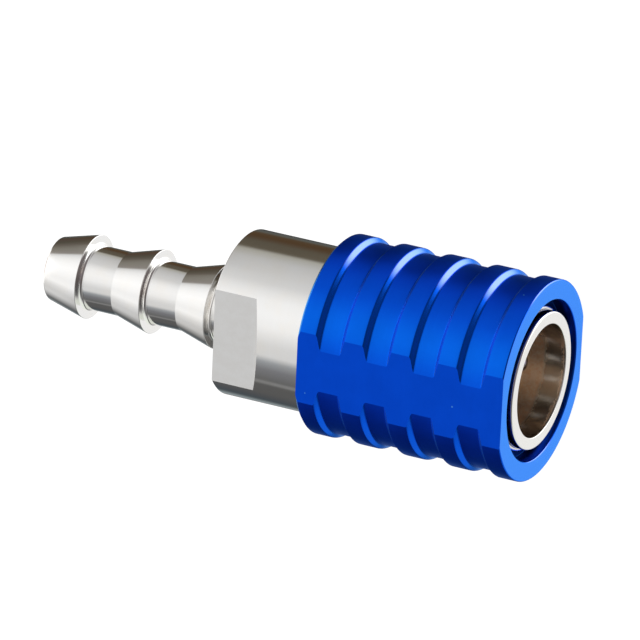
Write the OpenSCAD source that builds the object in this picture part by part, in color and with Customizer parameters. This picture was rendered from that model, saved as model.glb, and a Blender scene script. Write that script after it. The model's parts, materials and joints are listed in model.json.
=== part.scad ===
// Liquid cooling quick coupling, socket half, with a hose barb.
// Flat-face, ball-locking coupling. All sizes in millimetres.
// The axis of the coupling is X. The mating face is at x = 0 and faces +X, and the hose barb points to -X.
// The coupling lies on one of its sleeve's two flats, which face up and down.

/* [Locking sleeve] */
// Outside diameter of the sleeve over its grip ribs
sleeve_od = 22; // [21.6:0.1:24]
// Length of the sleeve
sleeve_l = 24; // [23.5:0.1:26]
// Width of one grip rib along the axis
rib_w = 2.1; // [1.6:0.05:2.6]
// Depth of the grooves between the ribs
groove_depth = 0.52; // [0.3:0.02:0.6]
// Axial length of the sloped groove wall that faces forward
groove_front_wall = 0.75; // [0.4:0.05:0.9]
// Axial length of the sloped groove wall that faces back
groove_rear_wall = 0.5; // [0.3:0.05:0.9]
// Distance across the two long flats of the sleeve
sleeve_flats = 20.44; // [20:0.02:21.4]
// Diameter of the bore at the front of the sleeve
sleeve_front_bore = 17.68; // [17.4:0.02:17.8]
// Depth from the front face to the lip that rests on the retaining ring
lip_depth = 1.9; // [1.8:0.05:2]
// How far the sleeve is pulled back to release the plug
sleeve_travel = 2.0; // [1.6:0.1:2]

/* [Socket] */
// Outside diameter of the socket tube
socket_od = 15.12; // [15:0.02:15.2]
// Diameter of the bore that takes the plug
socket_bore = 12.4; // [12.2:0.05:12.5]
// Depth of the valve face below the mating face
valve_face_depth = 10.5; // [10.3:0.1:11]
// Outside diameter of the socket's rear thread
thread_od = 15; // [14.9:0.05:15]

/* [Locking balls] */
// Number of locking balls
ball_count = 6; // [6:1:6]
// Diameter of a locking ball
ball_d = 2.5; // [2.4:0.05:2.5]
// Distance of the balls' centres behind the mating face
ball_depth = 5.6; // [5.5:0.05:5.8]
// How far each ball stands into the bore when locked
ball_protrusion = 0.65; // [0.5:0.05:0.65]
// Turn of the ball ring about the axis, in degrees
ball_phase = 18; // [-30:1:30]

/* [Valve] */
// Travel of the valve shuttle when a plug is pushed home
valve_travel = 4.0; // [2.8:0.1:4.2]
// Diameter of the fixed valve head
valve_head_d = 7.86; // [7.6:0.02:7.9]
// Diameter of the stem that carries the valve head
stem_d = 3.2; // [2.8:0.1:3.4]
// Number of flow holes in the stem carrier
flow_holes = 6; // [4:1:6]
// Diameter of one flow hole
flow_hole_d = 2.0; // [1.6:0.1:2.1]

/* [Adapter] */
// Outside diameter of the adapter body
body_od = 18.24; // [18:0.02:18.3]
// Position of the adapter body's rear face behind the mating face
body_rear = 35.3; // [34.5:0.1:36]
// Distance across the two wrench flats
wrench_flats = 14.82; // [14:0.02:15.6]
// Length of the wrench flats along the axis
wrench_len = 4.94; // [4:0.02:5.4]
// Lean of the front wall of each wrench flat, in degrees from square to the axis
wrench_lean = 32; // [26:1:40]
// Diameter of the chamber behind the stem carrier
chamber_d = 11.6; // [10:0.1:11.8]

/* [Hose barb] */
// Largest diameter of a barb
barb_od = 9.4; // [8.8:0.1:10]
// Diameter of the necks between the barbs
neck_d = 7.12; // [6.8:0.02:7.6]
// Diameter of the waterway through the barb
waterway_d = 4.8; // [4:0.1:5]
// Number of barbs
barb_count = 3; // [2:1:4]
// Distance from one barb to the next
barb_pitch = 7.82; // [7:0.01:8.5]
// Length of one barb's cone
barb_cone = 4.0; // [3.4:0.1:4.6]

/* [Hidden] */

$fn = 96;
eps = 0.01;
run_fit = 0.08;                       // radial play of the sliding pieces

sleeve_r = sleeve_od / 2;
sock_r = socket_od / 2;
bore_r = socket_bore / 2;
body_r = body_od / 2;
ball_r = ball_d / 2;

// sleeve
rib_pitch = (sleeve_l - rib_w) / 4;
groove_r = sleeve_r - groove_depth;
front_bore_r = sleeve_front_bore / 2;
guide_r = sock_r + run_fit;           // lands of the sleeve that slide on the socket tube
lip_t = 0.4;
rear_bore_r = body_r + run_fit;
shoulder_x = -9.0;                    // face that the sleeve spring's washer pushes on

// locking cone: a straight cone that just clears the balls, so each ball's way out is in step with the sleeve
ball_in_r = bore_r - ball_protrusion + ball_r;
relief = 0.2;                         // shallow groove in the bore where the balls stand in it
cone_slope = ball_protrusion / sleeve_travel;
cone_angle = atan(cone_slope);
cone_at_ball = ball_in_r + (ball_r + 0.02) / cos(cone_angle);
cone_front_x = -ball_depth + (front_bore_r - cone_at_ball) / cone_slope;
cone_rear_x = -ball_depth + (guide_r - cone_at_ball) / cone_slope;

// sleeve retaining ring, a round wire ring in a groove of the socket tube
ring_wire = 0.8;
ring_x = -lip_depth + ring_wire / 2;
ring_c = sock_r + 0.49 - ring_wire / 2;

// socket
flange_x = -15.0;
flange_r = body_r - 0.22;
joint_x = -16.0;                      // where the socket's flange meets the adapter
thread_r = thread_od / 2;
sock_rear = -23.5;

// sleeve spring
washer_t = 0.6;
s_wire = 0.8;
s_x0 = flange_x;
s_x1 = shoulder_x - washer_t - 0.02;
s_mean = sock_r + 0.36 + s_wire / 2;

// plug seal and body seal
ps_x = -8.7;
ps_sec = 0.5;
bs_sec = 0.6;

// valve
face_x = -valve_face_depth;
sh_r = bore_r - 0.07;
sh_rear = face_x - 5.0;
spigot_rear = face_x - 7.0;
head_r = valve_head_d / 2;
port_r = head_r + 0.07;
port_len = 2.5;
cavity_r = 4.2;
v_wire = 0.8;
v_mean = 4.85 + 0.12 + v_wire / 2;
carrier_x = sock_rear - 0.02;
carrier_t = 1.7;
carrier_r = 6.9;
tail_r = 1.25;

// adapter
chamber_r = chamber_d / 2;
chamber_front = carrier_x - carrier_t - 0.03;
chamber_rear = -30.0;
water_r = waterway_d / 2;
drill_x = chamber_rear - (chamber_r - water_r) / tan(59);
neck_r = neck_d / 2;
wrench_front = -body_rear + wrench_len;
barb_r = barb_od / 2;
tip_x = -body_rear - 2.6 - (barb_count - 1) * barb_pitch - barb_cone - 0.55;
root_fillet = 0.4;

// Points of a quarter fillet in the (r, x) half plane, from the wall to the floor.
function arc(cr, cx, r, a0, a1, n = 6) = [for (i = [0:n]) let (a = a0 + (a1 - a0) * i / n) [cr + r * cos(a), cx + r * sin(a)]];

// Turns a profile given as [radius, x] points about the X axis.
module turned(points) {
    rotate([0, 90, 0]) rotate_extrude() polygon(points);
}

// An O-ring about the X axis.
module o_ring(x, mean_r, section_r) {
    rotate([0, 90, 0]) translate([0, 0, x]) rotate_extrude($fn = 96) translate([mean_r, 0]) circle(r = section_r, $fn = 32);
}

// A compression spring about the X axis, closed at both ends.
// The height rises slowly on the first and last half turn, so that the end coils lie flat.
function rise(t, turns, l, wire) =
    let (dead = 0.75, live = turns - 2 * dead, lift = wire * 0.9)
    t < dead ? lift * t :
    t > turns - dead ? l - wire - lift * (turns - t) :
    lift * dead + (l - wire - 2 * lift * dead) * (t - dead) / live;

module coil_spring(x0, x1, mean_r, wire, turns, steps = 26, sides = 10) {
    l = x1 - x0;
    n = ceil(turns * steps);
    w = wire / 2;
    pts = [for (i = [0:n])
        let (t = turns * i / n, a = 360 * t, h = x0 + w + rise(t, turns, l, wire))
        for (j = [0:sides - 1]) let (b = 360 * j / sides, r = mean_r + w * cos(b))
            [h + w * sin(b), r * cos(a), r * sin(a)]];
    faces = concat(
        [[for (j = [0:sides - 1]) j]],
        [for (i = [0:n - 1], j = [0:sides - 1])
            [i * sides + j, (i + 1) * sides + j, (i + 1) * sides + (j + 1) % sides, i * sides + (j + 1) % sides]],
        [[for (j = [sides - 1:-1:0]) n * sides + j]]);
    polyhedron(points = pts, faces = faces, convexity = 8);
}

// Outline of the ribbed outside of the sleeve, from the front face to the rear face.
function rib_points() = concat(
    [[sleeve_r - 0.2, 0], [sleeve_r, -0.2]],
    [for (k = [0:3]) each
        let (xr = -k * rib_pitch - rib_w, xf = -(k + 1) * rib_pitch)
        [[sleeve_r, xr],
         [sleeve_r - groove_depth * 0.72, xr - groove_rear_wall * 0.5],
         [groove_r, xr - groove_rear_wall],
         [groove_r, xf + groove_front_wall],
         [sleeve_r - groove_depth * 0.8, xf + groove_front_wall * 0.62],
         [sleeve_r, xf]]],
    [[sleeve_r, -sleeve_l + 0.2], [sleeve_r - 0.2, -sleeve_l]]);

module locking_sleeve() {
    color([0.02, 0.2, 0.78])
    difference() {
        turned(concat(rib_points(), [
            [rear_bore_r + 0.2, -sleeve_l], [rear_bore_r, -sleeve_l + 0.2],
            [rear_bore_r, shoulder_x], [guide_r, shoulder_x],
            [guide_r, cone_rear_x], [front_bore_r, cone_front_x],
            [front_bore_r, -lip_depth - lip_t], [guide_r, -lip_depth - lip_t],
            [guide_r, -lip_depth], [front_bore_r, -lip_depth],
            [front_bore_r, -0.12], [front_bore_r + 0.12, 0]]));
        for (s = [-1, 1])
            translate([-sleeve_l / 2, 0, s * (sleeve_flats / 2 + 5)]) cube([sleeve_l + 2, 30, 10], center = true);
    }
}

module sleeve_retaining_ring() {
    color([0.75, 0.76, 0.78])
    difference() {
        o_ring(ring_x, ring_c, ring_wire / 2);
        rotate([-70, 0, 0]) translate([ring_x, sock_r, 0]) cube([3, 4, 1.6], center = true);
    }
}

// One radial hole for a locking ball: straight outside, tapered at the inside so that the ball can't fall in.
module ball_hole() {
    floor_r = bore_r + relief;
    neck = sqrt(pow(ball_r, 2) - pow(ball_in_r - floor_r, 2)) + 0.015;
    slope = (ball_r + 0.05 - neck) / (ball_in_r - floor_r);
    translate([0, 0, ball_in_r]) cylinder(r = ball_r + 0.05, h = 4, $fn = 48);
    translate([0, 0, floor_r - 0.4]) cylinder(r1 = neck - slope * 0.4, r2 = ball_r + 0.05 + slope * eps, h = ball_in_r - floor_r + 0.4 + eps, $fn = 48);
}

module at_ball(k, r) {
    rotate([ball_phase + k * 60 - 90, 0, 0]) translate([-ball_depth, 0, r]) children();
}

module socket_housing() {
    color([0.78, 0.78, 0.76])
    difference() {
        turned([
            [bore_r, 0], [sock_r - 0.25, 0], [sock_r, -0.25],
            [sock_r, flange_x], [flange_r - 0.3, flange_x], [flange_r, flange_x - 0.3], [flange_r, joint_x],
            [thread_r - 0.3, joint_x], [thread_r - 0.3, joint_x - 1.6], [thread_r, joint_x - 1.9],
            [thread_r, sock_rear + 0.5], [thread_r - 0.5, sock_rear], [bore_r, sock_rear],
            [bore_r, ps_x - 0.6], [bore_r + 0.8, ps_x - 0.6], [bore_r + 0.8, ps_x + 0.6], [bore_r, ps_x + 0.6],
            [bore_r, -ball_depth - 1.25], [bore_r + relief, -ball_depth - 1.25],
            [bore_r + relief, -ball_depth + 1.2], [bore_r, -ball_depth + 1.2]]);
        rotate([0, 90, 0]) translate([0, 0, ring_x]) rotate_extrude() translate([ring_c, 0]) circle(r = ring_wire / 2 + 0.02, $fn = 32);
        for (k = [0:ball_count - 1]) at_ball(k, 0) ball_hole();
    }
}

module locking_ball(k) {
    color([0.85, 0.85, 0.87]) at_ball(k - 1, ball_in_r) sphere(r = ball_r, $fn = 48);
}

module sleeve_spring() {
    color([0.7, 0.7, 0.72]) coil_spring(s_x0 + 0.01, s_x1 - 0.01, s_mean, s_wire, 4);
}

module spring_washer() {
    color([0.72, 0.72, 0.7])
    turned([[sock_r + 0.12, shoulder_x - 0.02], [rear_bore_r - 0.12, shoulder_x - 0.02],
            [rear_bore_r - 0.12, shoulder_x - 0.02 - washer_t], [sock_r + 0.12, shoulder_x - 0.02 - washer_t]]);
}

module plug_seal() {
    color([0.07, 0.07, 0.07]) o_ring(ps_x, bore_r + 0.28, ps_sec);
}

module body_seal() {
    color([0.07, 0.07, 0.07]) o_ring(joint_x - 0.68, thread_r - 0.3 + 0.02 + bs_sec, bs_sec);
}

module valve_shuttle() {
    color([0.8, 0.8, 0.78])
    turned([
        [port_r, face_x], [sh_r - 0.2, face_x], [sh_r, face_x - 0.2],
        [sh_r, face_x - 1.6], [sh_r - 1.0, face_x - 1.6], [sh_r - 1.0, face_x - 3.0], [sh_r, face_x - 3.0],
        [sh_r, sh_rear], [4.85, sh_rear], [4.85, spigot_rear + 0.2], [4.65, spigot_rear],
        [cavity_r + 0.1, spigot_rear], [cavity_r, spigot_rear + 0.2],
        [cavity_r, face_x - port_len - 0.3], [port_r, face_x - port_len]]);
}

module shuttle_seal() {
    color([0.07, 0.07, 0.07]) o_ring(face_x - 2.3, sh_r - 0.46, 0.51);
}

module valve_spring() {
    color([0.7, 0.7, 0.72]) coil_spring(carrier_x + 0.01, sh_rear - 0.01, v_mean, v_wire, 4.75);
}

module valve_stem() {
    color([0.8, 0.8, 0.78])
    turned([
        [0, face_x], [head_r - 0.12, face_x], [head_r, face_x - 0.12],
        [head_r, face_x - 0.8], [head_r - 0.98, face_x - 0.8], [head_r - 0.98, face_x - 2.0], [head_r, face_x - 2.0],
        [head_r, face_x - 2.5], [stem_d / 2, face_x - 4.6], [stem_d / 2, carrier_x + 0.8],
        [2.3, carrier_x + 0.8], [2.3, carrier_x], [tail_r, carrier_x],
        [tail_r, carrier_x - carrier_t - 1.9], [tail_r - 0.25, carrier_x - carrier_t - 2.15],
        [0, carrier_x - carrier_t - 2.15]]);
}

module stem_seal() {
    color([0.07, 0.07, 0.07]) o_ring(face_x - 1.4, head_r - 0.98 + 0.51, 0.5);
}

module stem_carrier() {
    color([0.74, 0.74, 0.72])
    difference() {
        turned([[tail_r + 0.02, carrier_x], [carrier_r - 0.2, carrier_x], [carrier_r, carrier_x - 0.2],
                [carrier_r, carrier_x - carrier_t + 0.2], [carrier_r - 0.2, carrier_x - carrier_t],
                [tail_r + 0.02, carrier_x - carrier_t]]);
        for (k = [0:flow_holes - 1])
            rotate([k * 360 / flow_holes + 30, 0, 0]) translate([carrier_x - carrier_t - 1, 3.75, 0])
                rotate([0, 90, 0]) cylinder(d = flow_hole_d, h = carrier_t + 2, $fn = 48);
    }
}

module stem_nut() {
    color([0.7, 0.7, 0.68])
    rotate([0, 90, 0]) translate([0, 0, carrier_x - carrier_t - 1.62])
        difference() {
            cylinder(d = 5.2, h = 1.6, $fn = 6);
            translate([0, 0, -1]) cylinder(r = tail_r + 0.02, h = 4, $fn = 48);
        }
}

// Outside of the hose barb, from the adapter's rear face to the tip, as [radius, x] points.
function barb_points() = concat(
    arc(neck_r + root_fillet, -body_rear - root_fillet, root_fillet, 90, 180),
    [for (k = [0:barb_count - 1]) each
        let (s = -body_rear - 2.6 - k * barb_pitch, last = k == barb_count - 1)
        concat(
            arc(neck_r + root_fillet, s + root_fillet, root_fillet, 180, 270),
            [[barb_r - 0.06, s], [barb_r, s - 0.06]],
            last ? [] : [[neck_r, s - barb_cone]])],
    [for (a = [0:15:90]) [neck_r - 0.3 + 0.25 * cos(a), tip_x + 0.25 - 0.25 * sin(a)]]);

module hose_adapter() {
    color([0.77, 0.77, 0.76])
    difference() {
        turned(concat(
            [[thread_r + 0.96, joint_x], [body_r - 0.3, joint_x], [body_r, joint_x - 0.3],
             [body_r, -body_rear + 0.2], [body_r - 0.2, -body_rear]],
            barb_points(),
            [[water_r + 0.2, tip_x], [water_r, tip_x + 0.2], [water_r, drill_x],
             [chamber_r, chamber_rear], [chamber_r, chamber_front], [carrier_r + 0.05, chamber_front],
             [carrier_r + 0.05, sock_rear - 0.3], [thread_r + 0.02, sock_rear - 0.2],
             [thread_r + 0.02, joint_x - 1.4], [thread_r + 0.96, joint_x - 1.4]]));
        for (turn = [90, 270])
            rotate([turn, 0, 0]) linear_extrude(height = 30, center = true)
                polygon([[-body_rear - 1, wrench_flats / 2], [wrench_front, wrench_flats / 2],
                         [wrench_front + 4 * tan(wrench_lean), wrench_flats / 2 + 4], [-body_rear - 1, wrench_flats / 2 + 4]]);
    }
}

locking_sleeve();
sleeve_retaining_ring();
socket_housing();
locking_ball(1);  // locking_ball_1
locking_ball(2);  // locking_ball_2
locking_ball(3);  // locking_ball_3
locking_ball(4);  // locking_ball_4
locking_ball(5);  // locking_ball_5
locking_ball(6);  // locking_ball_6
sleeve_spring();
spring_washer();
plug_seal();
body_seal();
valve_shuttle();
shuttle_seal();
valve_spring();
valve_stem();
stem_seal();
stem_carrier();
stem_nut();
hose_adapter();
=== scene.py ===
import json
import math

import bpy
from mathutils import Matrix, Vector


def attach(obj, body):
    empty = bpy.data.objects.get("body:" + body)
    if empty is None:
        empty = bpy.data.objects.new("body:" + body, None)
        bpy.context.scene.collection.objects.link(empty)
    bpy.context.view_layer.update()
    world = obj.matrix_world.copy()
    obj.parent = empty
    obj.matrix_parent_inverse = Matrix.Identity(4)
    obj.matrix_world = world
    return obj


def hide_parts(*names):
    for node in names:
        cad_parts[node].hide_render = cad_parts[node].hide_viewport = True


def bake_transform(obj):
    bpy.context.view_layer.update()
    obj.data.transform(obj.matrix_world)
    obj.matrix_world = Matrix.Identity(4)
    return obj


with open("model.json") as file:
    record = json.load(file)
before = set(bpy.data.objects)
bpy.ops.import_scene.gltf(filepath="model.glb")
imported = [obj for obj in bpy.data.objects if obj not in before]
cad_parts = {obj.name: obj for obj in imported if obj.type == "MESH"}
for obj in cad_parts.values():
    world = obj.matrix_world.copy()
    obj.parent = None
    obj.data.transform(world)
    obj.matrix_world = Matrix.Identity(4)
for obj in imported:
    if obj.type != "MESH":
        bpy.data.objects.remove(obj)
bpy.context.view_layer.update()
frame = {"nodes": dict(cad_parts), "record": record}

MM = 0.001
scene = bpy.context.scene

# ---------------------------------------------------------------------------------------------- sizes, in millimetres
SLEEVE_R, SLEEVE_L, FLAT = 11.0, 24.0, 10.22
RIB_W, RIB_PITCH, GROOVE_R = 2.1, 5.475, 10.48
FRONT_BORE, GUIDE_R, REAR_BORE = 8.84, 7.64, 9.2
LIP_X, LIP_T = -1.9, 0.4
SOCK_R, BORE_R = 7.56, 6.2
BALL_R, BALL_X, BALL_C, BALL_PHASE = 1.25, -5.6, 6.8, 18.0
BODY_R, BODY_REAR, WRENCH, WRENCH_LEN, WRENCH_LEAN = 9.12, 35.3, 7.41, 4.94, 32.0
NECK_R, BARB_R, WATER_R = 3.56, 4.7, 2.4
BARB_PITCH, BARB_CONE, TIP_X = 7.82, 4.0, -58.09
FACE_X, SH_R, HEAD_R, PORT_R = -10.5, 6.13, 3.93, 4.0
TURNS = 240                                    # steps round a turned piece


# ---------------------------------------------------------------------------------------------- mesh tools
def rounded(points, closed=True, step=14.0):
    """Rounds the corners of a profile given as (x, r, radius). Returns [(x, r, sharp)]."""
    n, out = len(points), []
    for i, (x, r, rad) in enumerate(points):
        if (not closed and i in (0, n - 1)) or rad <= 0:
            out.append((x, r, None))
            continue
        p = Vector((x, r))
        a, b = Vector(points[i - 1][:2]), Vector(points[(i + 1) % n][:2])
        u, v = (a - p), (b - p)
        lu, lv = u.length, v.length
        u, v = u / lu, v / lv
        inner = u.angle(v)
        turn = math.pi - inner
        if turn < math.radians(4):
            out.append((x, r, None))
            continue
        t = min(rad * math.tan(turn / 2), 0.49 * lu, 0.49 * lv)
        rr = t / math.tan(turn / 2)
        c = p + (u + v).normalized() * (rr / math.cos(turn / 2))
        s, e = p + u * t - c, p + v * t - c
        k = max(2, math.ceil(math.degrees(turn) / step))
        a0 = math.atan2(s.y, s.x)
        d = math.atan2(s.x * e.y - s.y * e.x, s.x * e.x + s.y * e.y)
        for j in range(k + 1):
            q = a0 + d * j / k
            out.append((c.x + rr * math.cos(q), c.y + rr * math.sin(q), False))
    # a corner is sharp when the profile turns by more than 24 degrees there
    m, res = len(out), []
    for i, (x, r, s) in enumerate(out):
        if s is None and (closed or 0 < i < m - 1):
            p, a, b = Vector((x, r)), Vector(out[i - 1][:2]), Vector(out[(i + 1) % m][:2])
            u, v = p - a, b - p
            s = u.length > 1e-9 and v.length > 1e-9 and u.angle(v) > math.radians(24)
        res.append((x, r, bool(s)))
    return res


def ring(r, flat, span, nf, na):
    """Points (y, z) round one ring, with its two flats at z = +flat and z = -flat if the ring reaches them."""
    pts = []
    if flat is None:
        n = 2 * (nf + na)
        return [(r * math.cos(2 * math.pi * i / n), r * math.sin(2 * math.pi * i / n)) for i in range(n)]
    half = math.acos(flat / r) if r > flat else span
    for side in (1, -1):
        for i in range(nf):
            t = -1 + 2 * i / nf
            if r > flat:
                y, z = -t * math.sqrt(r * r - flat * flat), flat
            else:
                y, z = -r * math.sin(t * half), r * math.cos(t * half)
            pts.append((side * y, side * z))
        for i in range(na):
            q = math.pi / 2 + half + (math.pi - 2 * half) * i / na
            pts.append((side * r * math.cos(q), side * r * math.sin(q)))
    return pts


def make(name, verts, faces, sharp=(), smooth=True):
    me = bpy.data.meshes.new(name)
    me.from_pydata([(x * MM, y * MM, z * MM) for x, y, z in verts], [], faces)
    me.validate()
    me.polygons.foreach_set("use_smooth", [smooth] * len(me.polygons))
    if sharp:
        keys = {tuple(sorted(e)) for e in sharp}
        attr = me.attributes.new("sharp_edge", "BOOLEAN", "EDGE")
        attr.data.foreach_set("value", [tuple(sorted(e.vertices)) in keys for e in me.edges])
    me.update()
    o = bpy.data.objects.new(name, me)
    scene.collection.objects.link(o)
    return o


def lathe(name, profile, closed=True, flat=None, flat_range=None, turns=TURNS):
    """A turned solid about X from a profile of (x, r, sharp). Points with r = 0 close it on the axis."""
    verts, faces, sharp = [], [], []
    nf, na = (16, turns // 2 - 16) if flat else (turns // 4, turns // 4)
    n = 2 * (nf + na)
    span = math.acos(flat / max(p[1] for p in profile)) if flat else 0
    rows = []
    for x, r, s in profile:
        if r < 1e-6:
            rows.append([len(verts)] * n)
            verts.append((x, 0.0, 0.0))
            continue
        f = flat
        if flat and flat_range and not flat_range[0] - 1e-6 <= x <= flat_range[1] + 1e-6:
            f = 1e9
        base = len(verts)
        for y, z in (ring(r, f, span, nf, na)):
            verts.append((x, y, z))
        rows.append(list(range(base, base + n)))
        if s:
            sharp += [(rows[-1][i], rows[-1][(i + 1) % n]) for i in range(n)]
    m = len(profile)
    for k in range(m if closed else m - 1):
        a, b = rows[k], rows[(k + 1) % m]
        ra, rb = profile[k][1], profile[(k + 1) % m][1]
        for i in range(n):
            j = (i + 1) % n
            q = [a[i], a[j], b[j], b[i]]
            q = [v for t, v in enumerate(q) if v not in q[:t]]
            if len(q) > 2:
                faces.append(q[::-1])
        if flat and ra > flat and rb > flat:
            for i in (0, nf, nf + na, 2 * nf + na):
                sharp.append((a[i], b[i]))
    o = make(name, verts, faces, sharp)
    fix_normals(o)
    return o


def fix_normals(o):
    import bmesh
    bm = bmesh.new()
    bm.from_mesh(o.data)
    bmesh.ops.remove_doubles(bm, verts=bm.verts, dist=1e-8)
    bmesh.ops.dissolve_degenerate(bm, edges=bm.edges, dist=1e-8)
    bmesh.ops.recalc_face_normals(bm, faces=bm.faces)
    bm.to_mesh(o.data)
    bm.free()


def cut(o, tool):
    """Takes the tool's volume out of o, exactly, and drops the tool."""
    m = o.modifiers.new("cut", "BOOLEAN")
    m.operation, m.solver, m.object = "DIFFERENCE", "EXACT", tool
    dg = bpy.context.evaluated_depsgraph_get()
    me = bpy.data.meshes.new_from_object(o.evaluated_get(dg))
    old = o.data
    o.modifiers.clear()
    o.data = me
    bpy.data.meshes.remove(old)
    bpy.data.objects.remove(tool)
    return o


def split_by_angle(o, degrees):
    o.data.polygons.foreach_set("use_smooth", [True] * len(o.data.polygons))
    o.data.set_sharp_from_angle(angle=math.radians(degrees))
    return o


def crease(o, degrees):
    """Marks the edges that turn by more than so many degrees as sharp, beside those already marked."""
    import bmesh
    bm = bmesh.new()
    bm.from_mesh(o.data)
    for e in bm.edges:
        if len(e.link_faces) == 2 and e.calc_face_angle(0.0) > math.radians(degrees):
            e.smooth = False
    bm.to_mesh(o.data)
    bm.free()
    return o


def flat_cutter(x0, x1, lean, z0, z1):
    """The cutter for one wrench flat: its front wall leans back from x1 by lean degrees."""
    d = abs(z1 - z0) * math.tan(math.radians(lean))
    v = [(x, y, z) for y in (-12, 12) for x, z in ((x0, z0), (x1, z0), (x1 + d, z1), (x0, z1))]
    f = [(0, 1, 2, 3), (7, 6, 5, 4), (0, 4, 5, 1), (1, 5, 6, 2), (2, 6, 7, 3), (3, 7, 4, 0)]
    t = make("cutter", v, f, smooth=False)
    fix_normals(t)
    return t


def torus(name, x, mean, sec, gap=0.0, at=0.0, turns=TURNS, sides=24):
    """A ring of round section about X; with a gap of so many millimetres it is an open wire ring with flat ends."""
    verts, faces = [], []
    half = gap / 2 / mean
    n = turns
    closed = gap == 0
    m = n if closed else n + 1
    a0 = math.radians(at)
    for i in range(m):
        q = a0 + half + (2 * math.pi - 2 * half) * i / n
        for j in range(sides):
            b = 2 * math.pi * j / sides
            r = mean + sec * math.cos(b)
            verts.append((x + sec * math.sin(b), r * math.cos(q), r * math.sin(q)))
    for i in range(n):
        for j in range(sides):
            a, b = i * sides, ((i + 1) % m) * sides
            faces.append((a + j, b + j, b + (j + 1) % sides, a + (j + 1) % sides))
    if not closed:
        faces.append(tuple(range(sides)))
        faces.append(tuple(n * sides + j for j in reversed(range(sides))))
    o = make(name, verts, faces)
    fix_normals(o)
    if not closed:
        split_by_angle(o, 50)
    return o


def coil(name, x0, x1, mean, wire, turns, steps=72, sides=16):
    """A compression spring about X with closed, ground ends."""
    length, w = x1 - x0, wire / 2
    dead, lift = 0.75, wire * 0.9
    n = math.ceil(turns * steps)
    verts, faces = [], []
    for i in range(n + 1):
        t = turns * i / n
        if t < dead:
            h = lift * t
        elif t > turns - dead:
            h = length - wire - lift * (turns - t)
        else:
            h = lift * dead + (length - wire - 2 * lift * dead) * (t - dead) / (turns - 2 * dead)
        q = 2 * math.pi * t
        for j in range(sides):
            b = 2 * math.pi * j / sides
            r = mean + w * math.cos(b)
            x = x0 + w + h + w * math.sin(b)
            verts.append((min(max(x, x0 + 0.02), x1 - 0.02), r * math.cos(q), r * math.sin(q)))
    for i in range(n):
        for j in range(sides):
            k = (j + 1) % sides
            faces.append((i * sides + j, i * sides + k, (i + 1) * sides + k, (i + 1) * sides + j))
    faces.append(tuple(range(sides)))
    faces.append(tuple(n * sides + j for j in reversed(range(sides))))
    o = make(name, verts, faces)
    fix_normals(o)
    return split_by_angle(o, 45)


def ball(name, centre, r, rings=24, seg=48):
    verts, faces = [(0, 0, r)], []
    for i in range(1, rings):
        p = math.pi * i / rings
        for j in range(seg):
            q = 2 * math.pi * j / seg
            verts.append((r * math.sin(p) * math.cos(q), r * math.sin(p) * math.sin(q), r * math.cos(p)))
    verts.append((0, 0, -r))
    for j in range(seg):
        faces.append((0, 1 + j, 1 + (j + 1) % seg))
        faces.append((len(verts) - 1, 1 + (rings - 2) * seg + (j + 1) % seg, 1 + (rings - 2) * seg + j))
    for i in range(rings - 2):
        for j in range(seg):
            a, b = 1 + i * seg, 1 + (i + 1) * seg
            faces.append((a + j, b + j, b + (j + 1) % seg, a + (j + 1) % seg))
    o = make(name, [(x + centre[0], y + centre[1], z + centre[2]) for x, y, z in verts], faces)
    fix_normals(o)
    return o


# ---------------------------------------------------------------------------------------------- materials
class Graph:
    """A short way to write shader nodes."""

    def __init__(self, tree):
        self.t = tree
        tree.nodes.clear()

    def node(self, kind, inputs=None, **props):
        n = self.t.nodes.new(kind)
        for k, v in props.items():
            setattr(n, k, v)
        for k, v in (inputs or {}).items():
            s = n.inputs[k]
            if isinstance(v, bpy.types.NodeSocket):
                self.t.links.new(v, s)
            else:
                s.default_value = v
        return n

    def math(self, op, a, b=0.0, c=0.0, clamp=False):
        n = self.node("ShaderNodeMath", operation=op, use_clamp=clamp)
        for s, v in zip(n.inputs, (a, b, c)):
            if isinstance(v, bpy.types.NodeSocket):
                self.t.links.new(v, s)
            else:
                s.default_value = v
        return n.outputs[0]

    def span(self, v, a, b, c=0.0, d=1.0, kind="SMOOTHSTEP"):
        n = self.node("ShaderNodeMapRange", interpolation_type=kind)
        for k, x in zip(("Value", "From Min", "From Max", "To Min", "To Max"), (v, a, b, c, d)):
            if isinstance(x, bpy.types.NodeSocket):
                self.t.links.new(x, n.inputs[k])
            else:
                n.inputs[k].default_value = x
        return n.outputs[0]

    def mix(self, f, a, b, mode="MIX"):
        n = self.node("ShaderNodeMix", data_type="RGBA", blend_type=mode)
        for s, v in ((n.inputs[0], f), (n.inputs[6], a), (n.inputs[7], b)):
            if isinstance(v, bpy.types.NodeSocket):
                self.t.links.new(v, s)
            else:
                s.default_value = v if isinstance(v, (int, float)) or len(v) == 4 else (*v, 1)
        return n.outputs[2]

    def ramp(self, fac, stops, kind="LINEAR"):
        n = self.node("ShaderNodeValToRGB")
        n.color_ramp.interpolation = kind
        e = n.color_ramp.elements
        while len(e) > 1:
            e.remove(e[-1])
        e[0].position, e[0].color = stops[0][0], (*stops[0][1], 1)
        for p, c in stops[1:]:
            e.new(p).color = (*c, 1)
        self.t.links.new(fac, n.inputs[0])
        return n.outputs[0]

    def noise(self, vector, scale, detail=2.0, rough=0.5, **kw):
        n = self.node("ShaderNodeTexNoise", **kw)
        self.t.links.new(vector, n.inputs["Vector"])
        n.inputs["Scale"].default_value = scale
        n.inputs["Detail"].default_value = detail
        n.inputs["Roughness"].default_value = rough
        return n.outputs["Fac"]

    def stretch(self, vector, s):
        n = self.node("ShaderNodeMapping")
        self.t.links.new(vector, n.inputs["Vector"])
        n.inputs["Scale"].default_value = s
        return n.outputs[0]


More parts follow.
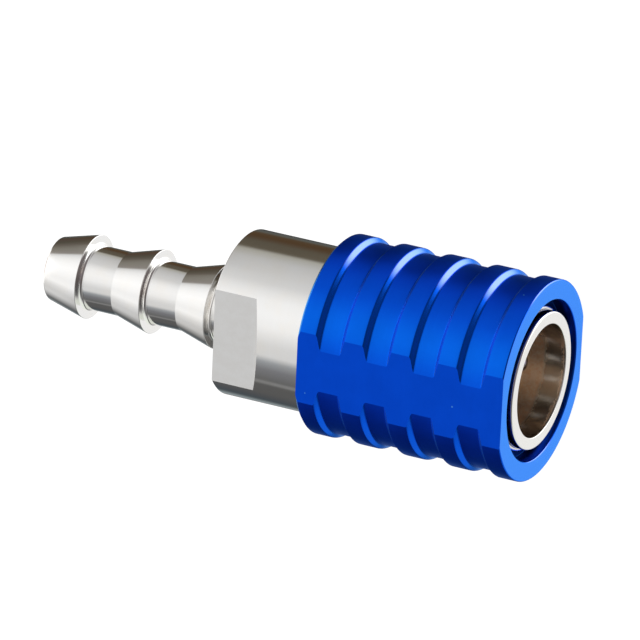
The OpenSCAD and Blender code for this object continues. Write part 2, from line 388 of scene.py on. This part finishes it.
def start(name):
    m = bpy.data.materials.new(name)
    m.use_nodes = True
    g = Graph(m.node_tree)
    out = g.node("ShaderNodeOutputMaterial")
    b = g.node("ShaderNodeBsdfPrincipled")
    m.node_tree.links.new(b.outputs[0], out.inputs[0])
    return m, g, b


def turning(g):
    """Coordinates of a turned piece in its own space, in metres: along the axis, distance from it, and angle round it as two smooth numbers."""
    co = g.node("ShaderNodeTexCoord").outputs["Object"]
    sep = g.node("ShaderNodeSeparateXYZ")
    g.t.links.new(co, sep.inputs[0])
    x, y, z = sep.outputs
    r = g.math("SQRT", g.math("ADD", g.math("MULTIPLY", y, y), g.math("MULTIPLY", z, z)))
    return co, x, y, z, r


def lathe_lines(g, x, r, y, z, fine=1.0):
    """Fine tool marks that run round the piece, broken up a little along their length."""
    c = g.node("ShaderNodeCombineXYZ")
    for s, v, k in zip(c.inputs, (x, r, g.math("ADD", y, z)), (1.0, 1.0, 0.012)):
        g.t.links.new(g.math("MULTIPLY", v, k), s)
    a = g.noise(c.outputs[0], 5200.0 * fine, 3.0, 0.65)
    b = g.noise(c.outputs[0], 1500.0 * fine, 2.0, 0.5)
    return g.math("ADD", g.math("MULTIPLY", a, 0.6), g.math("MULTIPLY", b, 0.4))


def steel(name, colour, rough, lines=0.25, mottle=0.05, aniso=0.45, warm=(0.80, 0.76, 0.70), tube=False):
    m, g, b = start(name)
    co, x, y, z, r = turning(g)
    marks = lathe_lines(g, x, r, y, z)
    cloud = g.noise(co, 420.0, 4.0, 0.6)
    spots = g.noise(co, 2600.0, 2.0, 0.6)
    tone = g.mix(g.span(cloud, 0.35, 0.75, 0.0, 0.35), colour, tuple(a * w / 0.78 for a, w in zip(colour, warm)))
    tone = g.mix(g.span(marks, 0.3, 0.7, 0.0, 0.10), tone, tuple(0.86 * c for c in colour))
    if tube:
        # the bore is browned by the heat of hardening, and painted shade darkens the outside wall in the gap
        bore = g.math("MULTIPLY", g.span(r, 0.00655, 0.00640), g.span(x, -0.00010, -0.00030))
        uneven = g.math("ADD", g.math("MULTIPLY", cloud, 0.5), g.math("MULTIPLY", spots, 0.5))
        bore_stain_and_shade = g.mix(g.span(uneven, 0.42, 0.60), (1.0, 0.81, 0.64), (0.92, 0.67, 0.47))
        # a greyer ring near the mouth, and painted shade on the two sides of the bore
        ring = g.math("MULTIPLY_ADD", uneven, 0.0016, x)
        ring = g.math("MULTIPLY", g.span(ring, -0.0020, -0.0012), g.span(ring, 0.0002, 0.0005, 1.0, 0.0))
        bore_stain_and_shade = g.mix(g.math("MULTIPLY", ring, 0.75), bore_stain_and_shade, (0.72, 0.74, 0.70))
        side = g.math("DIVIDE", g.math("ADD", g.math("MULTIPLY", y, 0.423), g.math("MULTIPLY", z, 0.906)), g.math("MAXIMUM", r, 0.0001))
        side = g.math("ADD", g.math("ABSOLUTE", side), g.math("MULTIPLY_ADD", uneven, 0.5, -0.25))
        middle = g.span(side, 0.30, 0.85)
        # painted shade: the bore is darkened to a deep brown where its wall faces square to the (0, 0.423, 0.906)
        # direction
        bore_stain_and_shade = g.mix(g.math("SUBTRACT", 1.0, middle), bore_stain_and_shade, (0.36, 0.31, 0.27))
        tone = g.mix(bore, tone, bore_stain_and_shade)
        # painted shade: the outside wall of the tube just inside the gap is made nearly black
        wall = g.math("MULTIPLY", g.span(r, 0.00740, 0.00752), g.span(x, -0.00025, -0.00060))
        tone = g.mix(wall, tone, (0.13, 0.13, 0.14))
        worn = g.math("MULTIPLY", middle, g.math("SUBTRACT", 1.0, ring))
        rough = g.math("ADD", rough, g.math("MULTIPLY", bore, g.math("MULTIPLY_ADD", worn, 0.16, 0.04)))
    g.t.links.new(tone, b.inputs["Base Color"])
    b.inputs["Metallic"].default_value = 1.0
    ro = g.math("ADD", rough, g.math("ADD", g.span(cloud, 0.3, 0.8, -mottle * 0.5, mottle, "LINEAR"), g.span(spots, 0.4, 0.7, 0.0, mottle * 0.6, "LINEAR")))
    g.t.links.new(ro, b.inputs["Roughness"])
    b.inputs["Anisotropic"].default_value = aniso
    b.inputs["Anisotropic Rotation"].default_value = 0.25
    tan = g.node("ShaderNodeTangent", direction_type="RADIAL", axis="X")
    g.t.links.new(tan.outputs[0], b.inputs["Tangent"])
    bump = g.node("ShaderNodeBump", {"Strength": lines, "Distance": 0.000004, "Height": marks})
    g.t.links.new(bump.outputs[0], b.inputs["Normal"])
    return m


def anodised():
    m, g, b = start("blue_anodised")
    co, x, y, z, r = turning(g)
    marks = lathe_lines(g, x, r, y, z, 0.8)
    cloud = g.noise(co, 300.0, 3.0, 0.55)
    grain = g.noise(co, 9000.0, 2.0, 0.6)
    base = g.mix(g.span(cloud, 0.3, 0.75), (0.0006, 0.110, 0.700), (0.0010, 0.122, 0.760))
    base = g.mix(g.span(marks, 0.35, 0.7, 0.0, 0.12), base, (0.0004, 0.083, 0.60))
    # painted highlights and shade, by which way each face points: the blue is made paler on the rib walls of the two
    # sides facing +Y and -Y, and on the faces square to the axis
    way = g.node("ShaderNodeSeparateXYZ")
    g.t.links.new(g.node("ShaderNodeTexCoord").outputs["Normal"], way.inputs[0])
    lean = g.math("ABSOLUTE", way.outputs[0])
    across = g.math("SQRT", g.math("MAXIMUM", 0.0001, g.math("SUBTRACT", 1.0, g.math("MULTIPLY", lean, lean))))
    # painted highlight and shade: the blue runs from a deep blue to a lighter, greener one and back, twice round the
    # sleeve, lightest on faces pointing 30 degrees from +Z towards +Y and the opposite way
    tone = g.math("ADD", g.math("MULTIPLY", g.math("MULTIPLY", way.outputs[1], way.outputs[2]), 1.732),
                  g.math("MULTIPLY", g.math("SUBTRACT", g.math("MULTIPLY", way.outputs[2], way.outputs[2]), g.math("MULTIPLY", way.outputs[1], way.outputs[1])), 0.5))
    base = g.mix(g.span(lean, 0.30, 0.62, 1.0, 0.45), base, g.ramp(g.math("MULTIPLY_ADD", tone, 0.5, 0.5), [
        (0.0, (1, .40, .97)), (0.45, (1, .42, .97)), (0.62, (1, .52, .98)), (0.76, (1, .66, 1)), (0.90, (1, .74, 1)), (0.96, (1, .86, 1)), (1.0, (1, 1, 1))]), "MULTIPLY")
    # painted highlight: the rib walls on the two sides facing +Y and -Y are made a pale lavender blue
    highlight_side = g.span(g.math("DIVIDE", g.math("ABSOLUTE", way.outputs[1]), across), 0.90, 0.985)
    wall_highlight = g.math("MULTIPLY", g.span(lean, 0.38, 0.56), g.span(lean, 0.86, 0.97, 1.0, 0.0))
    base = g.mix(g.math("MULTIPLY", wall_highlight, highlight_side), base, (0.21, 0.31, 0.93))
    # painted highlight: the rear-facing rib walls are made a paler cyan blue
    rear_wall_highlight = g.math("MULTIPLY", g.span(way.outputs[0], -0.45, -0.62), g.span(lean, 0.86, 0.97, 1.0, 0.0))
    base = g.mix(rear_wall_highlight, base, (0.07, 0.31, 0.80))
    # painted highlight: the faces square to the axis are made a lighter azure
    base = g.mix(g.span(lean, 0.90, 0.99), base, (0.080, 0.270, 0.98))
    # painted shade deep in the gap round the socket tube
    gap_shade = g.math("MULTIPLY", g.span(r, 0.00905, 0.00890), g.span(x, -0.0004, -0.0011))
    base = g.mix(gap_shade, base, (0.0002, 0.012, 0.11))
    # a few specks of dust and pin-pricks in the dye
    v = g.node("ShaderNodeTexVoronoi", {"Scale": 700.0, "Randomness": 1.0}, feature="F1")
    g.t.links.new(co, v.inputs["Vector"])
    pick = g.node("ShaderNodeSeparateColor")
    g.t.links.new(v.outputs["Color"], pick.inputs[0])
    speck = g.math("MULTIPLY", g.span(v.outputs["Distance"], 0.050, 0.085, 1.0, 0.0), g.math("GREATER_THAN", pick.outputs[0], 0.95))
    base = g.mix(g.math("MULTIPLY", speck, 0.6), base, (0.12, 0.42, 0.85))
    g.t.links.new(base, b.inputs["Base Color"])
    b.inputs["Metallic"].default_value = 0.91
    b.inputs["Specular Tint"].default_value = (0.40, 0.70, 0.95, 1.0)
    ro = g.math("ADD", 0.30, g.math("ADD", g.span(cloud, 0.3, 0.8, -0.015, 0.03, "LINEAR"), g.span(grain, 0.35, 0.7, 0.0, 0.03, "LINEAR")))
    ro = g.math("SUBTRACT", ro, g.math("MULTIPLY", g.span(lean, 0.2, 0.5), 0.10))
    g.t.links.new(ro, b.inputs["Roughness"])
    h = g.math("ADD", g.math("MULTIPLY", grain, 0.5), g.math("MULTIPLY", marks, 0.5))
    bump = g.node("ShaderNodeBump", {"Strength": 0.22, "Distance": 0.000004, "Height": h})
    g.t.links.new(bump.outputs[0], b.inputs["Normal"])
    return m


def rubber():
    m, g, b = start("seal_rubber")
    co = g.node("ShaderNodeTexCoord").outputs["Object"]
    n = g.noise(co, 3000.0, 3.0, 0.6)
    g.t.links.new(g.mix(g.span(n, 0.3, 0.7), (0.010, 0.010, 0.011), (0.022, 0.022, 0.024)), b.inputs["Base Color"])
    g.t.links.new(g.span(n, 0.3, 0.7, 0.38, 0.52, "LINEAR"), b.inputs["Roughness"])
    bump = g.node("ShaderNodeBump", {"Strength": 0.15, "Distance": 0.00001, "Height": n})
    g.t.links.new(bump.outputs[0], b.inputs["Normal"])
    return m


MAT = {
    "blue_anodised": anodised(),
    "polished_stainless": steel("polished_stainless", (0.79, 0.785, 0.775), 0.10, 0.16, 0.03, 0.35),
    "turned_stainless": steel("turned_stainless", (0.78, 0.77, 0.75), 0.15, 0.30, 0.05, 0.5, tube=True),
    "valve_stainless": steel("valve_stainless", (0.74, 0.73, 0.70), 0.20, 0.30, 0.06, 0.4),
    "bearing_steel": steel("bearing_steel", (0.80, 0.80, 0.81), 0.06, 0.05, 0.02, 0.0),
    "spring_steel": steel("spring_steel", (0.66, 0.66, 0.66), 0.16, 0.10, 0.05, 0.0),
    "seal_rubber": rubber(),
}
SLOT = {n["node"]: n["material_slot"] for n in frame["record"]["subparts"]}


def finish_piece(o, body, slot, *nodes, blend=None):
    o.data.materials.clear()
    o.data.materials.append(MAT[slot])
    if nodes:
        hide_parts(*nodes)
    if blend:
        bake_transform(o)
    else:
        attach(o, body)
    return o


# ---------------------------------------------------------------------------------------------- locking sleeve
def sleeve_profile():
    p = [(0.0, FRONT_BORE, 0.12), (0.0, SLEEVE_R, 0.17)]
    for k in range(4):
        xr, xf = -k * RIB_PITCH - RIB_W, -(k + 1) * RIB_PITCH
        p += [(xr, SLEEVE_R, 0.06), (xr - 0.42, GROOVE_R, 0.35),
              (xf + 0.50, GROOVE_R, 0.40), (xf + 0.06, SLEEVE_R, 0.35)]
    p += [(-SLEEVE_L + 0.26, SLEEVE_R, 0.04), (-SLEEVE_L, SLEEVE_R - 0.26, 0.04), (-SLEEVE_L, REAR_BORE, 0.15),
          (-9.0, REAR_BORE, 0.1), (-9.0, GUIDE_R, 0.08)]
    slope = 0.65 / 2.0
    cone_at = BALL_C + (BALL_R + 0.02) / math.cos(math.atan(slope))
    cf = BALL_X + (FRONT_BORE - cone_at) / slope
    cr = BALL_X + (GUIDE_R - cone_at) / slope
    p += [(cr, GUIDE_R, 0.0), (cf, FRONT_BORE, 0.0),
          (LIP_X - LIP_T, FRONT_BORE, 0.05), (LIP_X - LIP_T, GUIDE_R, 0.05),
          (LIP_X, GUIDE_R, 0.06), (LIP_X, FRONT_BORE, 0.08)]
    return rounded(p)


sleeve = crease(lathe("sleeve_grip", sleeve_profile(), flat=FLAT), 24)
finish_piece(sleeve, "sleeve", "blue_anodised", "locking_sleeve")

# ---------------------------------------------------------------------------------------------- socket tube
sock = [(0.0, BORE_R, 0.10), (0.0, SOCK_R, 0.22)]
# groove for the retaining ring
groove = [(-1.5 + 0.42 * math.cos(math.radians(a)), 7.65 + 0.42 * math.sin(math.radians(a))) for a in range(-13, -168, -14)]
sock += [(x, min(r, SOCK_R), 0.0) for x, r in groove]
sock += [(-15.0, SOCK_R, 0.1), (-15.0, 8.9, 0.25), (-16.0, 8.9, 0.05), (-16.0, 7.2, 0.1), (-17.6, 7.2, 0.1), (-17.9, 7.5, 0.05),
         (-23.0, 7.5, 0.1), (-23.5, 7.0, 0.1), (-23.5, BORE_R, 0.05),
         (-9.3, BORE_R, 0.03), (-9.3, 7.0, 0.1), (-8.1, 7.0, 0.1), (-8.1, BORE_R, 0.03),
         (-6.85, BORE_R, 0.0), (-6.85, 6.4, 0.0), (-4.4, 6.4, 0.0), (-4.4, BORE_R, 0.0)]
socket = lathe("socket_tube", rounded(sock), turns=192)


def ball_hole_tool(k):
    neck = math.sqrt(BALL_R ** 2 - (BALL_C - 6.4) ** 2) + 0.015
    slope = (BALL_R + 0.05 - neck) / (BALL_C - 6.4)
    prof = [(5.4, 0.0), (5.4, neck - slope * 1.0), (BALL_C, BALL_R + 0.05), (9.0, BALL_R + 0.05), (9.0, 0.0)]
    verts, faces, n, rows = [], [], 48, []
    for h, r in prof:
        if r == 0.0:
            rows.append([len(verts)] * n)
            verts.append((0.0, 0.0, h))
        else:
            rows.append(list(range(len(verts), len(verts) + n)))
            verts += [(r * math.cos(2 * math.pi * i / n), r * math.sin(2 * math.pi * i / n), h) for i in range(n)]
    for a, b in zip(rows, rows[1:]):
        for i in range(n):
            j = (i + 1) % n
            q = [a[i], a[j], b[j], b[i]]
            q = [v for t, v in enumerate(q) if v not in q[:t]]
            if len(q) > 2:
                faces.append(q)
    q = math.radians(BALL_PHASE + 60 * k - 90)
    rot = Matrix.Rotation(q, 3, "X")
    pts = [rot @ Vector(v) + Vector((BALL_X, 0, 0)) for v in verts]
    t = make("cutter", [tuple(p) for p in pts], faces)
    fix_normals(t)
    return t


for k in range(6):
    cut(socket, ball_hole_tool(k))
split_by_angle(socket, 28)
finish_piece(socket, "fixed_body", "turned_stainless", "socket_housing")

# ---------------------------------------------------------------------------------------------- balls, rings and seals
for k in range(6):
    q = math.radians(BALL_PHASE + 60 * k)
    o = ball(f"ball_bearing_{k + 1}", (BALL_X, BALL_C * math.cos(q), BALL_C * math.sin(q)), BALL_R)
    finish_piece(o, f"ball_{k + 1}", "bearing_steel", f"locking_ball_{k + 1}")

finish_piece(torus("ring_wire", -1.5, 7.65, 0.4, gap=1.6, at=-70.0), "fixed_body", "spring_steel", "sleeve_retaining_ring")
finish_piece(torus("plug_o_ring", -8.7, 6.48, 0.5), "fixed_body", "seal_rubber", "plug_seal")
finish_piece(torus("body_o_ring", -16.68, 7.82, 0.6), "fixed_body", "seal_rubber", "body_seal")
finish_piece(torus("shuttle_o_ring", FACE_X - 2.3, SH_R - 0.46, 0.51), "valve", "seal_rubber", "shuttle_seal")
finish_piece(torus("stem_o_ring", FACE_X - 1.4, HEAD_R - 0.47, 0.5), "fixed_body", "seal_rubber", "stem_seal")

washer = lathe("washer_ring", rounded([(-9.02, 7.68, 0.06), (-9.02, 9.08, 0.06), (-9.62, 9.08, 0.06), (-9.62, 7.68, 0.06)]))
finish_piece(washer, "sleeve_carriage", "valve_stainless", "spring_washer")

spring = coil("sleeve_coil", -14.99, -9.65, 8.32, 0.8, 4)
finish_piece(spring, "fixed_body", "spring_steel", "sleeve_spring", blend=("sleeve_carriage", (-0.01480, 0, 0), (-0.00985, 0, 0)))
spring = coil("valve_coil", -23.51, -15.51, 5.37, 0.8, 4.75)
finish_piece(spring, "fixed_body", "spring_steel", "valve_spring", blend=("valve", (-0.0233, 0, 0), (-0.0157, 0, 0)))

# ---------------------------------------------------------------------------------------------- valve
f = FACE_X
shuttle = lathe("shuttle_sleeve", rounded([
    (f, PORT_R, 0.05), (f, SH_R, 0.18), (f - 1.6, SH_R, 0.04), (f - 1.6, SH_R - 1.0, 0.08), (f - 3.0, SH_R - 1.0, 0.08),
    (f - 3.0, SH_R, 0.04), (f - 5.0, SH_R, 0.1), (f - 5.0, 4.85, 0.1), (f - 7.0, 4.85, 0.18), (f - 7.0, 4.2, 0.12),
    (f - 2.8, 4.2, 0.0), (f - 2.5, PORT_R, 0.0)]))
finish_piece(shuttle, "valve", "valve_stainless", "valve_shuttle")

cx = -23.52
stem = lathe("stem_head", rounded([
    (f, 0.0, 0.0), (f, HEAD_R, 0.1), (f - 0.8, HEAD_R, 0.03), (f - 0.8, HEAD_R - 0.98, 0.08), (f - 2.0, HEAD_R - 0.98, 0.08),
    (f - 2.0, HEAD_R, 0.03), (f - 2.5, HEAD_R, 0.15), (f - 4.6, 1.6, 0.8), (cx + 0.8, 1.6, 0.1), (cx + 0.8, 2.3, 0.1),
    (cx, 2.3, 0.0), (cx, 1.25, 0.0), (cx - 3.6, 1.25, 0.0), (cx - 3.85, 1.0, 0.0), (cx - 3.85, 0.0, 0.0)], closed=False), closed=False)
finish_piece(stem, "fixed_body", "valve_stainless", "valve_stem")

for n in ("stem_carrier", "stem_nut"):
    o = frame["nodes"][n]
    o.data.materials.clear()
    o.data.materials.append(MAT[SLOT[n]])

# ---------------------------------------------------------------------------------------------- hose adapter
ad = [(-16.0, 8.46, 0.05), (-16.0, BODY_R, 0.3), (-BODY_REAR, BODY_R, 0.16), (-BODY_REAR, BODY_R - 0.22, 0.0),
      (-BODY_REAR, NECK_R + 0.50, 0.0), (-BODY_REAR, NECK_R, 0.38)]
for k in range(3):
    s = -BODY_REAR - 2.6 - k * BARB_PITCH
    ad += [(s, NECK_R, 0.38), (s, BARB_R, 0.07)]
    if k < 2:
        ad += [(s - BARB_CONE, NECK_R, 0.25)]
ad += [(TIP_X, NECK_R - 0.05, 0.28), (TIP_X, WATER_R, 0.2), (-32.04, WATER_R, 0.05), (-30.0, 5.8, 0.1), (-25.25, 5.8, 0.05),
       (-25.25, 6.95, 0.05), (-23.8, 6.95, 0.0), (-23.7, 7.52, 0.0), (-17.4, 7.52, 0.0), (-17.4, 8.46, 0.05)]
adapter = lathe("hose_tail_body", rounded(ad), turns=256)
for s in (1, -1):
    cut(adapter, flat_cutter(-BODY_REAR - 0.6, -BODY_REAR + WRENCH_LEN, WRENCH_LEAN, s * WRENCH, s * 12.0))
split_by_angle(adapter, 24)
finish_piece(adapter, "fixed_body", "polished_stainless", "hose_adapter")

# the milled wrench flats have straight cutter marks of their own
m, g, b = start("milled_stainless")
co, x, y, z, r = turning(g)
lay = g.noise(g.stretch(co, (1.0, 0.05, 0.05)), 3800.0, 3.0, 0.6)
hand = g.noise(co, 900.0, 4.0, 0.65)
lay = g.math("ADD", g.math("MULTIPLY", lay, 0.4), g.math("MULTIPLY", g.noise(g.stretch(co, (0.10, 1.0, 1.0)), 3400.0, 3.0, 0.6), 0.6))
g.t.links.new(g.mix(g.span(hand, 0.3, 0.7), (0.755, 0.745, 0.73), (0.79, 0.785, 0.775)), b.inputs["Base Color"])
b.inputs["Metallic"].default_value = 1.0
g.t.links.new(g.math("ADD", 0.30, g.span(hand, 0.3, 0.7, -0.02, 0.04, "LINEAR")), b.inputs["Roughness"])
bump = g.node("ShaderNodeBump", {"Strength": 0.20, "Distance": 0.000005, "Height": lay})
g.t.links.new(bump.outputs[0], b.inputs["Normal"])
adapter.data.materials.append(m)
for p in adapter.data.polygons:
    if abs(p.normal.z) > 0.999 and abs(abs(p.center.z) - WRENCH * MM) < 1e-5:
        p.material_index = 1

# ---------------------------------------------------------------------------------------------- floor
half = 3.0
zf = -FLAT * MM
floor = bpy.data.objects.new("floor", bpy.data.meshes.new("floor"))
floor.data.from_pydata([(-half, -half, zf), (half, -half, zf), (half, half, zf), (-half, half, zf)], [], [(0, 1, 2, 3)])
scene.collection.objects.link(floor)
m, g, b = start("floor_white")
co = g.node("ShaderNodeTexCoord").outputs["Object"]
n = g.noise(co, 40.0, 2.0, 0.5)
g.t.links.new(g.mix(g.span(n, 0.3, 0.7), (0.24, 0.24, 0.24), (0.26, 0.26, 0.26)), b.inputs["Base Color"])
b.inputs["Roughness"].default_value = 0.9
b.inputs["Specular IOR Level"].default_value = 0.1
b.inputs["Emission Color"].default_value = (1, 1, 1, 1)
b.inputs["Emission Strength"].default_value = 0.97
floor.data.materials.append(m)
floor.visible_glossy = False

# ---------------------------------------------------------------------------------------------- world: a soft studio round the part
w = bpy.data.worlds.new("studio")
scene.world = w
w.use_nodes = True
g = Graph(w.node_tree)
out = g.node("ShaderNodeOutputWorld")
sep = g.node("ShaderNodeSeparateXYZ")
g.t.links.new(g.node("ShaderNodeTexCoord").outputs["Generated"], sep.inputs[0])
dx, dy, dz = sep.outputs
ang = g.math("ADD", g.math("DIVIDE", g.math("ARCTAN2", dy, dz), 2 * math.pi), 0.5)


def stops(table):
    """Light round the part's axis, from (degrees, light) pairs. Zero is straight up and +90 is towards +Y."""
    res = []
    for d, v in table:
        c = v if isinstance(v, tuple) else (v, v, v)
        res.append((min(1.0, max(0.0, d / 360.0 + 0.5)), c))
    return res


GAIN = 10.0   # a ramp holds values up to 1
s = 1.0 / GAIN


def rows(table):
    return stops([(d, tuple(s * q for q in v) if isinstance(v, tuple) else s * v) for d, v in table])


along_tail = rows([
    (-180, (.10, .09, .08)), (-172, .14), (-164, .32), (-158, (.95, .88, .82)), (-149, (1.40, 1.24, 1.17)), (-140, .55), (-129, .25), (-114, .23), (-100, .52), (-82, .80), (-65, .76), (-47, .90),
    (-28, 1.17), (-8, 1.12), (12, 1.22), (32, 1.28), (53, 1.2), (70, 1.06), (83, .84), (89, (.31, .285, .26)), (110, (.25, .235, .20)),
    (127, (.16, .138, .115)), (144, (.09, .08, .058)), (160, (.10, .08, .07)), (175, (.06, .05, .045)), (180, (.10, .09, .08))])
across = rows([
    (-180, (.114, .119, .106)), (-165, .07), (-152, .14), (-143, .30), (-135, (.27, .33, .35)), (-128, (.17, .19, .20)), (-121, (.068, .086, .098)), (-109, (.09, .095, .103)),
    (-97, .115), (-77, .12), (-74, .26), (-71, .26), (-68, .15), (-49, (.22, .223, .24)), (-37, (.37, .39, .41)),
    (-28, .80), (-13, .82), (-1, .95), (11, 1.09), (29, 1.15), (47, 1.10), (59, .97), (71, .79), (95, .668), (107, .60), (122, (.45, .44, .39)),
    (127, (.13, .11, .08)), (143, (.117, .10, .072)), (151, (.10, .07, .045)), (158, (.093, .054, .027)), (170, (.095, .06, .032)), (180, (.114, .119, .106))])
front = rows([
    (-180, 2.0), (-170, 1.3), (-160, 1.05), (-135, 1.05), (-122, (1.0, 1.05, .97)), (-92, (1.0, 1.05, .97)), (-80, .75), (-66, .25), (-45, .13), (0, (.15, .13, .125)),
    (20, (.20, .175, .175)), (100, (.23, .205, .21)), (114, .50), (124, 1.4), (133, 2.4), (165, 2.5), (180, 2.0)])
mid = rows([
    (-180, 1.2), (-150, .9), (-130, .30), (-100, .09), (-70, .09), (-40, .4), (-20, .7), (10, .95), (40, 1.0), (70, .8), (100, .6), (120, .7), (150, 1.2), (180, 1.2)])
c1, c2, c3, c4 = (g.ramp(ang, t) for t in (along_tail, across, mid, front))
k = g.mix(g.span(dx, -0.72, -0.44), c1, c2)
k = g.mix(g.span(dx, -0.34, -0.08), k, c3)
k = g.mix(g.span(dx, 0.0, 0.24), k, c4)
# straight along the axis the angle means nothing, so the light evens out there
k = g.mix(g.span(dx, 0.90, 0.995), k, (s * 0.28, s * 0.25, s * 0.33))
k = g.mix(g.span(dx, -0.83, -0.89), k, (s * 1.7,) * 3)
k = g.mix(g.span(dx, -0.935, -0.965), k, (s * 0.59, s * 0.46, s * 0.39))
bg = g.node("ShaderNodeBackground", {"Color": k, "Strength": GAIN})
plain = g.node("ShaderNodeBackground", {"Color": (1, 1, 1, 1), "Strength": 1.0})
lp = g.node("ShaderNodeLightPath")
mixs = g.node("ShaderNodeMixShader")
g.t.links.new(lp.outputs["Is Camera Ray"], mixs.inputs[0])
g.t.links.new(bg.outputs[0], mixs.inputs[1])
g.t.links.new(plain.outputs[0], mixs.inputs[2])
g.t.links.new(mixs.outputs[0], out.inputs[0])
w.cycles.sampling_method = "MANUAL"
w.cycles.sample_map_resolution = 1024

# ---------------------------------------------------------------------------------------------- camera
cam = bpy.data.cameras.new("camera")
cam.sensor_width, cam.lens = 36.0, 403.59
cam.clip_start, cam.clip_end = 0.02, 20.0
co = bpy.data.objects.new("camera", cam)
right, up, back = (0.89712, 0.04244, -0.43974), (-0.20839, 0.91834, -0.3365), (0.38955, 0.39352, 0.8327)
co.matrix_world = Matrix([[right[i], up[i], back[i], t] for i, t in enumerate((0.273724, 0.304126, 0.641272))] + [[0, 0, 0, 1]])
scene.collection.objects.link(co)
scene.camera = co
scene.view_settings.view_transform = "Standard"
scene.view_settings.look = "None"
